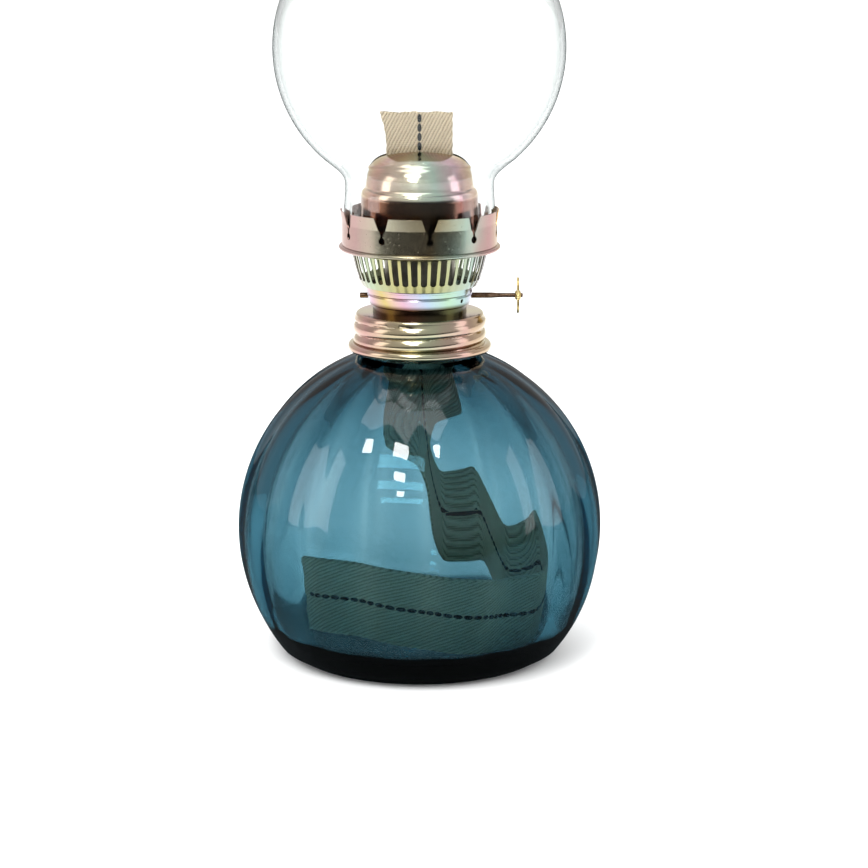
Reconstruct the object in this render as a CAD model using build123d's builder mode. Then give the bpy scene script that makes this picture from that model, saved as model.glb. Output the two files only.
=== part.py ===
from build123d import *
import os
from math import acos, asin, atan2, cos, hypot, pi, radians, sin, sqrt, tau

# Oil lamp with a flat-wick burner, in millimetres. The origin is on the floor under
# the lamp's axis, +Z is up, and -Y is the side that faces the viewer.

# Glass font: an egg-shaped bowl with soft upright lobes, a thick base and a plain neck.
font_radius = 61.8
belly_height = 43.0
font_rise = 63.4
font_drop = 63.3
heel_height = 3.2
foot_ring_width = 11.0
foot_recess_depth = 1.5
glass_wall = 4.3
shoulder_wall = 6.0
base_thickness = 8.5
inner_heel_height = 5.0
lobe_count = 18
lobe_depth = 1.0
lobe_phase = 3.5
lobe_fade_height = 30.0
font_sections = 12
neck_radius = 19.6
neck_wall = 3.1
neck_height = 12.5
rim_round = 0.6

# Screw cap, pressed from sheet, with a rolled thread and a curled edge.
sheet = 0.45
thread_clearance = 1.4
thread_depth = 0.85
thread_pitch = 4.2
thread_beads = 2
thread_round = 1.0
cap_depth = 12.7
cap_corner = 1.0
cap_curl_radius = 0.95
cap_curl_reach = 1.3
gasket_thickness = 1.35
gasket_edge_gap = 0.1
gasket_bore_gap = 0.9

# Burner base: shank crimped in the cap, and the cup above it.
shank_radius = 15.7
shank_height = 2.5
crimp_width = 1.3
cup_foot_radius = 16.9
cup_rim_radius = 18.05
cup_height = 6.7
cup_foot_rise = 0.6
cup_groove_depth = 0.3
cup_groove_drop = 2.7
cup_groove_half_width = 0.5
vent_hole_radius = 0.7
vent_hole_azimuth = 54.0
vent_hole_rise = 2.6
floor_vent_place = 7.9
plate_thickness = 0.6
brazed_gap = 0.05

# Slotted basket between the cup and the gallery.
basket_step_radius = 19.0
basket_middle_radius = 20.9
basket_top_radius = 22.1
basket_height = 11.55
basket_tuck = 1.0
basket_flange_width = 1.3
basket_slot_count = 42
basket_slot_width = 1.7
basket_slot_start = 1.7
basket_slot_end = 9.7

# Perforated plate under the gallery.
air_plate_thickness = 0.5
air_plate_gap = 0.3
air_hole_radius = 0.9
air_hole_rows = (8.5, 12.5, 16.0)
air_hole_counts = (14, 20, 26)

# Chimney gallery: floor, rolled lip and sprung prongs.
prong_clearance = 0.32
gallery_lip_reach = 1.1
gallery_lip_height = 1.6
gallery_bore_radius = 18.5
prong_count = 10
prong_phase = 7.8
crease_height = 8.7
prong_tip_height = 12.7
prong_flare = 0.55
keyhole_radius = 1.15
keyhole_height = 5.2
slit_width = 1.5
slit_crease_width = 2.2
slit_tip_width = 5.4

# Dome over the wick tube, with the flame slot along X.
dome_skirt_radius = 19.9
dome_skirt_taper = 0.5
dome_skirt_height = 17.0
dome_step_height = 20.7
dome_shoulder_round = 4.5
dome_step_radius = 18.05
dome_collar_height = 25.0
dome_collar_radius = 17.45
dome_crown_radius = 11.4
dome_crown_height = 30.7
dome_height = 31.9
dome_flange_width = 1.6
flame_slot_length = 34.6
flame_slot_width = 3.8
flame_slot_height = 26.0

# Flat woven wick and its tube.
wick_width = 22.0
wick_thickness = 2.0
wick_edge_round = 0.6
wick_above_dome = 13.0
tube_clearance = 0.3
tube_wall = 0.4
tube_below_rim = 10.6
tube_below_dome = 7.4

# Wick winder: spindle behind the wick, two toothed wheels and a thumb wheel.
spindle_radius = 0.95
spindle_tip_radius = 0.75
spindle_rise = 1.95
spindle_left_reach = 20.2
spindle_right_reach = 34.7
spindle_taper_start = 24.0
spindle_taper_end = 27.0
spindle_end_chamfer = 0.25
spindle_running_gap = 0.05
cup_hole_gap = 0.2
feed_wheel_radius = 3.6
feed_wheel_root_radius = 2.7
feed_wheel_teeth = 10
feed_wheel_thickness = 0.8
feed_wheel_offset = 6.0
feed_wheel_gap = 0.3
window_gap = 0.4
box_half_width = 9.5
box_sheet = 0.6
box_height = 8.6
box_wheel_gap = 0.8
thumb_wheel_radius = 6.0
thumb_wheel_thickness = 0.75
thumb_wheel_place = 33.0
thumb_wheel_round = 0.19
thumb_hub_radius = 1.6
thumb_hub_length = 2.0

# Chimney: foot in the gallery, ball and straight flue.
chimney_foot_radius = 25.1
chimney_wall = 1.7
chimney_ball_radius = 48.2
chimney_ball_height = 66.0
chimney_flue_radius = 21.0
chimney_height = 166.0
chimney_foot_round = 6.0
chimney_flue_round = 16.0
chimney_waist_taper = 1.0
chimney_join_slack = 0.01

# Wick in the font. It hangs and twists under its tube through points given as x, y, drop under the tube
# and turn of its width in plan, and then lies along the glass through points given as azimuth, gap to the
# glass and height over the cavity floor. The last value is the roll of its width from level (0) to
# upright (90).
tail_width = 24.5
tail_lean = 6.0
tail_hang = (
    (0.0, 0.5, 11.0, 4, 0),
    (0.0, 1.5, 22.0, 18, 0),
    (1.2, 4.5, 32.0, 58, 0),
    (2.8, 9.0, 42.0, 78, 0),
    (8.0, 14.5, 53.0, 62, 12),
    (15.5, 17.5, 63.0, 32, 35),
)
tail_lie = (
    (31.6, 26.0, 24.5, 75),
    (12.5, 18.3, 18.0, 88),
    (-5.0, 13.0, 15.0, 90),
    (-24.0, 10.0, 13.5, 90),
    (-46.0, 9.5, 13.2, 90),
    (-69.5, 6.4, 16.5, 90),
    (-92.5, 5.4, 20.2, 90),
    (-114.5, 4.7, 23.1, 90),
    (-136.0, 5.0, 21.8, 90),
)

# Levels and radii that follow from the sizes above.
neck_bore = neck_radius - neck_wall
shoulder_height = belly_height + font_rise * sqrt(1 - (neck_radius / font_radius) ** 2)
rim_level = shoulder_height + neck_height
cap_under = rim_level + gasket_thickness
cap_top = cap_under + sheet
cap_bottom = cap_top - cap_depth
cap_groove_radius = neck_radius + thread_clearance + sheet
cap_bead_radius = cap_groove_radius + thread_depth
cup_foot = cap_top + shank_height
cup_rim = cup_foot + cup_height
basket_top = cup_rim + basket_height
gallery_under = basket_top + sheet
gallery_floor = gallery_under + sheet
gallery_radius = chimney_foot_radius + prong_clearance + sheet
dome_top = gallery_floor + dome_height
base_plate_under = cap_under
base_plate_top = base_plate_under + plate_thickness
tube_half_thickness = wick_thickness / 2 + tube_clearance + tube_wall
tube_width = wick_width + 2 * (tube_clearance + tube_wall)
tube_bottom = rim_level - tube_below_rim
tube_top = dome_top - tube_below_dome
wick_top = dome_top + wick_above_dome
spindle_y = wick_thickness / 2 + feed_wheel_gap + feed_wheel_radius
spindle_z = cup_foot + spindle_rise
spindle_plane = Plane(origin=(0, spindle_y, spindle_z), x_dir=(1, 0, 0), z_dir=(0, -1, 0))
spindle_axis = Axis((0, spindle_y, spindle_z), (1, 0, 0))
tube_opening = (tube_width + 2 * brazed_gap, 2 * (tube_half_thickness + brazed_gap))

os.makedirs("parts", exist_ok=True)


def bowl_foot(radius, drop, floor, heel):
    """Floor radius, heel radius and heel level of a bowl whose rounded heel meets its wall smoothly."""
    heel_level = floor + heel
    share = (belly_height - heel_level) / drop
    heel_radius = radius * sqrt(1 - share**2)
    slope = atan2(radius * share / drop, heel_radius / radius)
    round_radius = heel / (1 - sin(slope))
    return heel_radius - round_radius * cos(slope), heel_radius, heel_level


def polar_point(radius, angle):
    """Point at a radius and an angle from the origin of a sketch."""
    return radius * cos(angle), radius * sin(angle)


def radial_planes(count, radius, phase=0.0):
    """Upright planes that face outwards at a radius from the lamp's axis, evenly spread round it."""
    return [Plane.XZ.rotated((0, 0, phase + 360 * turn / count)).offset(radius) for turn in range(count)]


# Font

foot_radius, heel_radius, heel_level = bowl_foot(font_radius, font_drop, 0, heel_height)
low_angle = -asin((belly_height - heel_level) / font_drop)
top_angle = acos(neck_radius / font_radius)
inner_radius = font_radius - glass_wall
inner_rise = font_rise - shoulder_wall
inner_drop = font_drop - glass_wall
inner_foot, inner_heel, inner_heel_level = bowl_foot(
    inner_radius, inner_drop, base_thickness, inner_heel_height
)
inner_low_angle = -asin((belly_height - inner_heel_level) / inner_drop)
inner_top_angle = acos(neck_bore / inner_radius)
bore_level = belly_height + inner_rise * sin(inner_top_angle)

with BuildPart() as font_half:
    for section in range(font_sections + 1):
        angle = low_angle + (top_angle - low_angle) * section / font_sections
        level = belly_height + (font_rise if angle > 0 else font_drop) * sin(angle)
        crest = font_radius * cos(angle)
        fade = min((level - heel_level) / lobe_fade_height, 1)
        groove = crest - lobe_depth * fade * crest / font_radius
        with BuildSketch(Plane.XY.offset(level)):
            with BuildLine() as lobes:
                for lobe in range(lobe_count // 2):
                    start = radians(lobe_phase - 90 + 360 * lobe / lobe_count)
                    middle = start + pi / lobe_count
                    end = start + tau / lobe_count
                    ThreePointArc(
                        polar_point(groove, start),
                        polar_point(crest, middle),
                        polar_point(groove, end),
                    )
                Line(lobes.line @ 1, lobes.line @ 0)
            make_face()
    loft()

with BuildPart() as font:
    with PolarLocations(0, 2):
        add(font_half.part)
    # Heel and foot ring
    with BuildSketch(Plane.XZ):
        with BuildLine():
            Line((0, 0), (foot_radius, 0))
            TangentArc((foot_radius, 0), (heel_radius, heel_level), tangent=(1, 0))
            Polyline((heel_radius, heel_level), (0, heel_level), (0, 0))
        make_face()
    revolve(axis=Axis.Z)
    # Neck
    with BuildSketch(Plane.XY.offset(shoulder_height - neck_wall)):
        Circle(neck_radius)
    extrude(amount=neck_height + neck_wall)
    # Cavity: its wall, its rounded floor and the bore of the neck
    for section in range(font_sections + 1):
        angle = inner_low_angle + (inner_top_angle - inner_low_angle) * section / font_sections
        level = belly_height + (inner_rise if angle > 0 else inner_drop) * sin(angle)
        with BuildSketch(Plane.XY.offset(level)):
            Circle(inner_radius * cos(angle))
    loft(mode=Mode.SUBTRACT)
    with BuildSketch(Plane.XZ):
        with BuildLine():
            Line((0, base_thickness), (inner_foot, base_thickness))
            TangentArc((inner_foot, base_thickness), (inner_heel, inner_heel_level), tangent=(1, 0))
            Polyline((inner_heel, inner_heel_level), (0, inner_heel_level), (0, base_thickness))
        make_face()
    revolve(axis=Axis.Z, mode=Mode.SUBTRACT)
    with BuildSketch(Plane.XY.offset(bore_level)):
        Circle(neck_bore)
    extrude(amount=rim_level - bore_level, mode=Mode.SUBTRACT)
    # Hollow under the base, inside the foot ring
    recess_radius = foot_radius - foot_ring_width
    with BuildSketch(Plane.XZ):
        with BuildLine():
            Line((0, 0), (recess_radius, 0))
            TangentArc((0, foot_recess_depth), (recess_radius, 0), tangent=(1, 0))
            Line((0, foot_recess_depth), (0, 0))
        make_face()
    revolve(axis=Axis.Z, mode=Mode.SUBTRACT)
    fillet(font.faces().filter_by(Plane.XY).sort_by(Axis.Z)[-1].edges(), radius=rim_round)
font.part.label = "font"
export_step(font.part, "parts/font.step")

# Flat seal on the glass rim

with BuildPart() as cap_gasket:
    with BuildSketch(Plane.XY.offset(rim_level)):
        Circle(cap_groove_radius - cap_corner - gasket_edge_gap)
        Circle(neck_bore + gasket_bore_gap, mode=Mode.SUBTRACT)
    extrude(amount=gasket_thickness)
cap_gasket.part.label = "cap_gasket"
export_step(cap_gasket.part, "parts/cap_gasket.step")

# Screw cap

curl_level = cap_bottom + cap_curl_radius
first_bead = cap_top - cap_corner - thread_pitch / 2
thread_line = [(cap_groove_radius, cap_top - cap_corner)]
for bead in range(thread_beads):
    thread_line.append((cap_bead_radius, first_bead - bead * thread_pitch))
    thread_line.append((cap_groove_radius, first_bead - (bead + 0.5) * thread_pitch))

with BuildPart() as screw_cap:
    with BuildSketch(Plane.XZ):
        with BuildLine():
            plate_edge = (cap_groove_radius - cap_corner, cap_top)
            Line((shank_radius + brazed_gap, cap_top), plate_edge)
            TangentArc(plate_edge, thread_line[0], tangent=(1, 0))
            FilletPolyline(*thread_line, (cap_groove_radius, curl_level), radius=thread_round)
            offset(amount=sheet, side=Side.RIGHT)
        make_face()
    revolve(axis=Axis.Z)
    # Curled edge
    with BuildSketch(Plane.XZ):
        with Locations((cap_groove_radius + cap_curl_reach, curl_level)):
            Circle(cap_curl_radius)
        with BuildLine():
            Polyline(
                (cap_groove_radius - sheet, curl_level),
                (cap_groove_radius + cap_curl_reach, curl_level + sheet),
                (cap_groove_radius + cap_curl_reach, curl_level - sheet),
                (cap_groove_radius - sheet, curl_level),
            )
        make_face()
    revolve(axis=Axis.Z)
screw_cap.part.label = "screw_cap"
export_step(screw_cap.part, "parts/screw_cap.step")

# Shank and cup of the burner

groove_level = cup_rim - cup_groove_drop
cup_slope = (cup_rim_radius - cup_foot_radius) / (cup_height - cup_foot_rise - sheet)


def cup_radius(level):
    """Outer radius of the cup's tapered wall."""
    return cup_foot_radius + cup_slope * (level - cup_foot - cup_foot_rise)


with BuildPart() as base_cup:
    with BuildSketch(Plane.XZ):
        with BuildLine():
            Polyline(
                (shank_radius + crimp_width, cap_under),
                (shank_radius, cap_under),
                (shank_radius, cup_foot),
                (cup_foot_radius, cup_foot + cup_foot_rise),
                (cup_radius(groove_level - cup_groove_half_width), groove_level - cup_groove_half_width),
                (cup_radius(groove_level) - cup_groove_depth, groove_level),
                (cup_radius(groove_level + cup_groove_half_width), groove_level + cup_groove_half_width),
                (cup_rim_radius, cup_rim - sheet),
                (cup_rim_radius, cup_rim),
            )
            offset(amount=sheet, side=Side.LEFT)
        make_face()
    revolve(axis=Axis.Z)
    # Holes for the spindle in both sides of the wall, and a small vent
    with Locations(Plane(origin=(0, spindle_y, spindle_z), z_dir=(1, 0, 0))):
        Cylinder(spindle_radius + cup_hole_gap, 3 * cup_rim_radius, mode=Mode.SUBTRACT)
    with BuildSketch(Plane.XZ.rotated((0, 0, vent_hole_azimuth))):
        with Locations((0, cup_foot + vent_hole_rise)):
            Circle(vent_hole_radius)
    extrude(amount=2 * cup_rim_radius, mode=Mode.SUBTRACT)
base_cup.part.label = "base_cup"
export_step(base_cup.part, "parts/base_cup.step")

# Floor of the burner, brazed in the shank round the wick tube

with BuildPart() as base_plate:
    with BuildSketch(Plane.XY.offset(base_plate_under)):
        Circle(shank_radius - sheet - brazed_gap)
        SlotOverall(*tube_opening, mode=Mode.SUBTRACT)
        with Locations((0, -floor_vent_place)):
            Circle(vent_hole_radius, mode=Mode.SUBTRACT)
    extrude(amount=plate_thickness)
base_plate.part.label = "base_plate"
export_step(base_plate.part, "parts/base_plate.step")

# Slotted basket

tuck_bottom = cup_rim - basket_tuck
tuck_gap = sheet + brazed_gap
slot_middle = cup_rim + (basket_slot_start + basket_slot_end) / 2

with BuildPart() as basket:
    with BuildSketch(Plane.XZ):
        with BuildLine():
            Polyline(
                (cup_radius(tuck_bottom) - tuck_gap, tuck_bottom),
                (cup_rim_radius - tuck_gap, cup_rim + brazed_gap),
                (basket_step_radius, cup_rim + tuck_gap),
                (basket_middle_radius, (cup_rim + basket_top) / 2),
                (basket_top_radius, basket_top - 2 * sheet),
                (basket_top_radius, basket_top),
                (basket_top_radius + basket_flange_width, basket_top),
            )
            offset(amount=sheet, side=Side.LEFT)
        make_face()
    revolve(axis=Axis.Z)
    with BuildSketch(*radial_planes(basket_slot_count, cup_foot_radius)):
        with Locations((0, slot_middle)):
            SlotOverall(basket_slot_end - basket_slot_start, basket_slot_width, rotation=90)
    extrude(amount=basket_top_radius, mode=Mode.SUBTRACT)
basket.part.label = "basket"
export_step(basket.part, "parts/basket.step")

# Perforated draught plate under the gallery floor

with BuildPart() as air_plate:
    with BuildSketch(Plane.XY.offset(gallery_under - air_plate_thickness)):
        Circle(basket_top_radius - sheet - air_plate_gap)
        SlotOverall(*tube_opening, mode=Mode.SUBTRACT)
        for row_radius, row_count in zip(air_hole_rows, air_hole_counts):
            with PolarLocations(row_radius, row_count):
                Circle(air_hole_radius, mode=Mode.SUBTRACT)
    extrude(amount=air_plate_thickness)
air_plate.part.label = "air_plate"
export_step(air_plate.part, "parts/air_plate.step")

# Chimney gallery

crease_level = gallery_floor + crease_height
tip_level = gallery_floor + prong_tip_height
keyhole_level = gallery_floor + keyhole_height

with BuildPart() as gallery:
    with BuildSketch(Plane.XZ):
        with BuildLine():
            lip_edge = (gallery_radius, gallery_under)
            lip_top = (gallery_radius, gallery_under + gallery_lip_height)
            Line((gallery_bore_radius, gallery_under), lip_edge)
            ThreePointArc(
                lip_edge,
                (gallery_radius + gallery_lip_reach, gallery_under + gallery_lip_height / 2),
                lip_top,
            )
            Polyline(
                lip_top,
                (gallery_radius, crease_level),
                (gallery_radius + prong_flare, tip_level),
            )
            offset(amount=sheet, side=Side.LEFT)
        make_face()
    revolve(axis=Axis.Z)
    # Keyhole slits that part the prongs
    with BuildSketch(*radial_planes(prong_count, gallery_bore_radius, prong_phase)):
        with Locations((0, keyhole_level)):
            Circle(keyhole_radius)
        with BuildLine():
            Polyline(
                (-slit_width / 2, keyhole_level),
                (slit_width / 2, keyhole_level),
                (slit_crease_width / 2, crease_level),
                (slit_tip_width / 2, tip_level),
                (slit_tip_width / 2, tip_level + sheet),
                (-slit_tip_width / 2, tip_level + sheet),
                (-slit_tip_width / 2, tip_level),
                (-slit_crease_width / 2, crease_level),
                close=True,
            )
        make_face()
    extrude(amount=gallery_radius, mode=Mode.SUBTRACT)
gallery.part.label = "gallery"
export_step(gallery.part, "parts/gallery.step")

# Dome with the flame slot

with BuildPart() as dome:
    with BuildSketch(Plane.XZ):
        with BuildLine():
            flange_level = gallery_floor + sheet
            skirt_top = (dome_skirt_radius - dome_skirt_taper, gallery_floor + dome_skirt_height)
            step = (dome_step_radius, gallery_floor + dome_step_height)
            collar = (dome_collar_radius, gallery_floor + dome_collar_height)
            crown = (dome_crown_radius, gallery_floor + dome_crown_height)
            crown_arc = TangentArc((0, dome_top), crown, tangent=(1, 0))
            TangentArc(crown, collar, tangent=crown_arc % 1)
            Line(collar, step)
            RadiusArc(step, skirt_top, radius=dome_shoulder_round)
            Polyline(
                skirt_top,
                (dome_skirt_radius, flange_level),
                (dome_skirt_radius + dome_flange_width, flange_level),
            )
            offset(amount=sheet, side=Side.RIGHT)
        make_face()
    revolve(axis=Axis.Z)
    with BuildSketch(Plane.XY.offset(gallery_floor + flame_slot_height)):
        SlotOverall(flame_slot_length, flame_slot_width)
    extrude(amount=dome_height, mode=Mode.SUBTRACT)
dome.part.label = "dome"
export_step(dome.part, "parts/dome.step")

# Flat wick tube, with two windows behind for the feed wheels

with BuildPart() as wick_tube:
    with BuildSketch(Plane.XY.offset(tube_bottom)):
        SlotOverall(tube_width, 2 * tube_half_thickness)
        offset(amount=-tube_wall, mode=Mode.SUBTRACT)
    extrude(amount=tube_top - tube_bottom)
    with BuildSketch(Plane.XZ):
        for side in (-1, 1):
            with Locations((side * feed_wheel_offset, spindle_z)):
                Rectangle(feed_wheel_thickness + 2 * window_gap, 2 * (feed_wheel_radius + window_gap))
    extrude(amount=-2 * tube_half_thickness, mode=Mode.SUBTRACT)
wick_tube.part.label = "wick_tube"
export_step(wick_tube.part, "parts/wick_tube.step")

# Bracket on the wick tube that carries the spindle

box_back = spindle_y + feed_wheel_radius + box_wheel_gap

with BuildPart() as wheel_box:
    with BuildSketch(Plane.XY.offset(base_plate_top)):
        with BuildLine():
            Polyline(
                (-box_half_width, tube_half_thickness),
                (-box_half_width, box_back),
                (box_half_width, box_back),
                (box_half_width, tube_half_thickness),
            )
            offset(amount=box_sheet, side=Side.RIGHT)
        make_face()
    extrude(amount=box_height)
    with Locations(Plane(origin=(0, spindle_y, spindle_z), z_dir=(1, 0, 0))):
        Cylinder(spindle_radius + spindle_running_gap, 4 * box_half_width, mode=Mode.SUBTRACT)
wheel_box.part.label = "wheel_box"
export_step(wheel_box.part, "parts/wheel_box.step")

# Spindle

with BuildPart() as spindle:
    with BuildSketch(spindle_plane):
        with BuildLine():
            Polyline(
                (-spindle_left_reach, 0),
                (-spindle_left_reach, spindle_radius),
                (spindle_taper_start, spindle_radius),
                (spindle_taper_end, spindle_tip_radius),
                (spindle_right_reach, spindle_tip_radius),
                (spindle_right_reach, 0),
                close=True,
            )
        make_face()
    revolve(axis=spindle_axis)
    spindle_ends = spindle.edges().filter_by(GeomType.CIRCLE).sort_by(Axis.X)
    chamfer([spindle_ends[0], spindle_ends[-1]], length=spindle_end_chamfer)
spindle.part.label = "spindle"
export_step(spindle.part, "parts/spindle.step")

# Toothed feed wheels, pressed on the spindle

for side, wheel_name in ((-1, "wick_wheel_left"), (1, "wick_wheel_right")):
    wheel_start = side * feed_wheel_offset - feed_wheel_thickness / 2
    wheel_plane = Plane(origin=(wheel_start, spindle_y, spindle_z), x_dir=(0, 1, 0), z_dir=(1, 0, 0))
    with BuildPart() as feed_wheel:
        with BuildSketch(wheel_plane):
            with BuildLine():
                teeth = []
                for tooth in range(feed_wheel_teeth):
                    tip_angle = tau * tooth / feed_wheel_teeth
                    root_angle = tip_angle + pi / feed_wheel_teeth
                    teeth.append(polar_point(feed_wheel_radius, tip_angle))
                    teeth.append(polar_point(feed_wheel_root_radius, root_angle))
                Polyline(*teeth, close=True)
            make_face()
            Circle(spindle_radius, mode=Mode.SUBTRACT)
        extrude(amount=feed_wheel_thickness)
    feed_wheel.part.label = wheel_name
    export_step(feed_wheel.part, f"parts/{wheel_name}.step")

# Thumb wheel with its hub

with BuildPart() as thumb_wheel:
    with BuildSketch(spindle_plane):
        with Locations((thumb_wheel_place, 0)):
            on_axis = (Align.CENTER, Align.MIN)
            Rectangle(thumb_wheel_thickness, thumb_wheel_radius, align=on_axis)
            Rectangle(thumb_hub_length, thumb_hub_radius, align=on_axis)
            Rectangle(thumb_hub_length, spindle_tip_radius, align=on_axis, mode=Mode.SUBTRACT)
    revolve(axis=spindle_axis)
    rim_edges = thumb_wheel.edges().filter_by(GeomType.CIRCLE).sort_by(SortBy.RADIUS)[-2:]
    fillet(rim_edges, radius=thumb_wheel_round)
thumb_wheel.part.label = "thumb_wheel"
export_step(thumb_wheel.part, "parts/thumb_wheel.step")

# Wick in the burner

with BuildPart() as wick:
    with BuildSketch(Plane.XY.offset(tube_bottom)):
        RectangleRounded(wick_width, wick_thickness, wick_edge_round)
    extrude(amount=wick_top - tube_bottom)
wick.part.label = "wick"
export_step(wick.part, "parts/wick.step")

# Wick in the font: hangs from the tube, twists, swings to the right and lies along the glass


def cavity_radius(level):
    """Inner radius of the glass at a level."""
    height = inner_rise if level > belly_height else inner_drop
    return inner_radius * sqrt(1 - ((level - belly_height) / height) ** 2)


tail_points = [Vector(0, 0, tube_bottom)]
tail_turns = [0]
tail_rolls = [0]
for x, y, drop, turn, roll in tail_hang:
    tail_points.append(Vector(x, y, tube_bottom - drop))
    tail_turns.append(turn)
    tail_rolls.append(roll)
for azimuth, gap, rise, roll in tail_lie:
    level = base_thickness + rise
    tail_points.append(Vector(*polar_point(cavity_radius(level) - gap, radians(azimuth)), level))
    tail_turns.append(0)
    tail_rolls.append(roll)

with BuildPart() as wick_tail:
    for place, point in enumerate(tail_points):
        before = tail_points[max(place - 1, 0)]
        after = tail_points[min(place + 1, len(tail_points) - 1)]
        along = (after - before).normalized() if place else Vector(0, 0, -1)
        outward = Vector(point.X, point.Y, 0).normalized() if place else Vector(1, 0, 0)
        upright = Vector(0, 0, cos(radians(tail_lean))) + outward * sin(radians(tail_lean))
        roll = radians(tail_rolls[place])
        level_width = Vector(*polar_point(1, radians(tail_turns[place])), 0)
        across = level_width * cos(roll) + upright * sin(roll)
        across = (across - along * across.dot(along)).normalized()
        with BuildSketch(Plane(origin=point, x_dir=across, z_dir=along)):
            Rectangle(tail_width if place > 1 else wick_width, wick_thickness)
    loft()
wick_tail.part.label = "wick_tail"
export_step(wick_tail.part, "parts/wick_tail.step")

# Chimney


def ball_joins(sketch):
    """Corners of the outline where the foot and the flue run into the ball, lowest first."""
    on_ball = [
        corner
        for corner in sketch.vertices()
        if abs(hypot(corner.X, corner.Y - ball_level) - chimney_ball_radius) < chimney_join_slack
    ]
    return ShapeList(on_ball).sort_by(Axis.Y)


ball_level = gallery_floor + chimney_ball_height
chimney_top = gallery_floor + chimney_height
spare = 4 * chimney_wall  # the outline runs past both ends, which are cut square at the last
waist_level = ball_level - chimney_ball_radius / 2

with BuildPart() as chimney:
    with BuildSketch(Plane.XZ) as outline:
        with Locations((0, ball_level)):
            Circle(chimney_ball_radius)
        with BuildLine():
            Polyline(
                (-chimney_foot_radius, gallery_floor - spare),
                (chimney_foot_radius, gallery_floor - spare),
                (chimney_foot_radius, tip_level),
                (chimney_foot_radius - chimney_waist_taper, waist_level),
                (chimney_waist_taper - chimney_foot_radius, waist_level),
                (-chimney_foot_radius, tip_level),
                close=True,
            )
        make_face()
        with Locations((0, ball_level)):
            Rectangle(
                2 * chimney_flue_radius, chimney_top + spare - ball_level, align=(Align.CENTER, Align.MIN)
            )
        fillet(ball_joins(outline)[:2], radius=chimney_foot_round)
        fillet(ball_joins(outline)[-2:], radius=chimney_flue_round)
        offset(amount=-chimney_wall, mode=Mode.SUBTRACT)
        with Locations((0, gallery_floor)):
            Rectangle(
                chimney_ball_radius, chimney_height, align=(Align.MIN, Align.MIN), mode=Mode.INTERSECT
            )
    revolve(axis=Axis.Z)
chimney.part.label = "chimney"
export_step(chimney.part, "parts/chimney.step")
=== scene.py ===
# %% [markdown]
# # A table oil lamp with a lobed glass font
# Four things stand on one axis: a teal glass font that holds the oil, a screw cap with a flat-wick burner
# on it, a clear glass chimney in the burner's gallery, and a woven wick that runs from the flame down into
# the oil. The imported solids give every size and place. This script dresses them: glass that refracts,
# plated sheet metal with its rainbow film, and a wick with its weave and its stitched middle line.

# %% Load the frame
from math import acos, asin, atan2, cos, degrees, hypot, radians, sin, sqrt, tau

import bmesh
import bpy
from mathutils import Matrix, Vector
from mathutils.geometry import interpolate_bezier


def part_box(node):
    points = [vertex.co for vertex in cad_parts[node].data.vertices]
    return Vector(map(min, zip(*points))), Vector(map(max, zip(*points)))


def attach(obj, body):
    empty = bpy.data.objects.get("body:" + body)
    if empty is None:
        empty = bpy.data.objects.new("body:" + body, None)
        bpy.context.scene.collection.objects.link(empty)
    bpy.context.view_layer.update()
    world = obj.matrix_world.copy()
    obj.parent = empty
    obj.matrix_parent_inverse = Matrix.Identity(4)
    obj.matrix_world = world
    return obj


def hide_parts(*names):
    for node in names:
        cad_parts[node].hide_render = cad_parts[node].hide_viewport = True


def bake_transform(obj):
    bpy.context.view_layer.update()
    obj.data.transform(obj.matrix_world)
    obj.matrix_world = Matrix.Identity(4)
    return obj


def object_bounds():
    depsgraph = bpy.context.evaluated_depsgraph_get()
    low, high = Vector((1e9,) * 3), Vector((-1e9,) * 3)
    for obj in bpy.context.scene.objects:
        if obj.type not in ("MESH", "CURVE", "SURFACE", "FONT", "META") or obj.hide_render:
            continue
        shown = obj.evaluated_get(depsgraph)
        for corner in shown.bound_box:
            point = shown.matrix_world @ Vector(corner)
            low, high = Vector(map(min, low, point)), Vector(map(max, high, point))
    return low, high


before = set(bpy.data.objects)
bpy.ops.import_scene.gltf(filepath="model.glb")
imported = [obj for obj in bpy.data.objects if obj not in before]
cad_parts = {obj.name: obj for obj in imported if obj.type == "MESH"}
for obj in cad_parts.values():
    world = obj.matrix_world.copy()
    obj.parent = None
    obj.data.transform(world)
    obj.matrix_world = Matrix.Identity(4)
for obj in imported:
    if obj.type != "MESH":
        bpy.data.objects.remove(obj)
cad_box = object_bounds()
MM = 0.001
box_in_mm = [[round(c / MM, 1) for c in corner] for corner in cad_box]
print("nodes:", len(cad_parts), "box in mm:", box_in_mm)

# %% [markdown]
# ## Helpers for colour, nodes and pieces
# Colours are written as sRGB hex values, the way a paint chart gives them, and one function turns them to
# the linear values that a shader wants. Another adds a node with its settings, links and ramp colours, so a
# material reads from top to bottom in the order in which the colour flows.

# %% Colours and nodes
def linear(colour):
    """An sRGB hex value as linear RGBA."""
    channels = [int(colour[place : place + 2], 16) / 255 for place in (1, 3, 5)]
    return *(c / 12.92 if c <= 0.04045 else ((c + 0.055) / 1.055) ** 2.4 for c in channels), 1.0


def add_node(tree, kind, inputs=None, stops=(), **settings):
    """Adds a node. Inputs are values or outputs to link; stops are a ramp's positions and hex colours."""
    node = tree.nodes.new(kind)
    for name, value in settings.items():
        setattr(node, name, value)
    for place, (position, colour) in enumerate(stops):
        elements = node.color_ramp.elements
        element = elements[place] if place < 2 else elements.new(position)
        element.position = position
        element.color = linear(colour)
    for socket, value in (inputs or {}).items():
        if isinstance(value, bpy.types.NodeSocket):
            tree.links.new(value, node.inputs[socket])
        else:
            node.inputs[socket].default_value = value
    return node


def blank_material(name):
    """A material with an empty node tree."""
    material = bpy.data.materials.new(name)
    material.use_nodes = True
    material.node_tree.nodes.clear()
    return material


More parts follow.
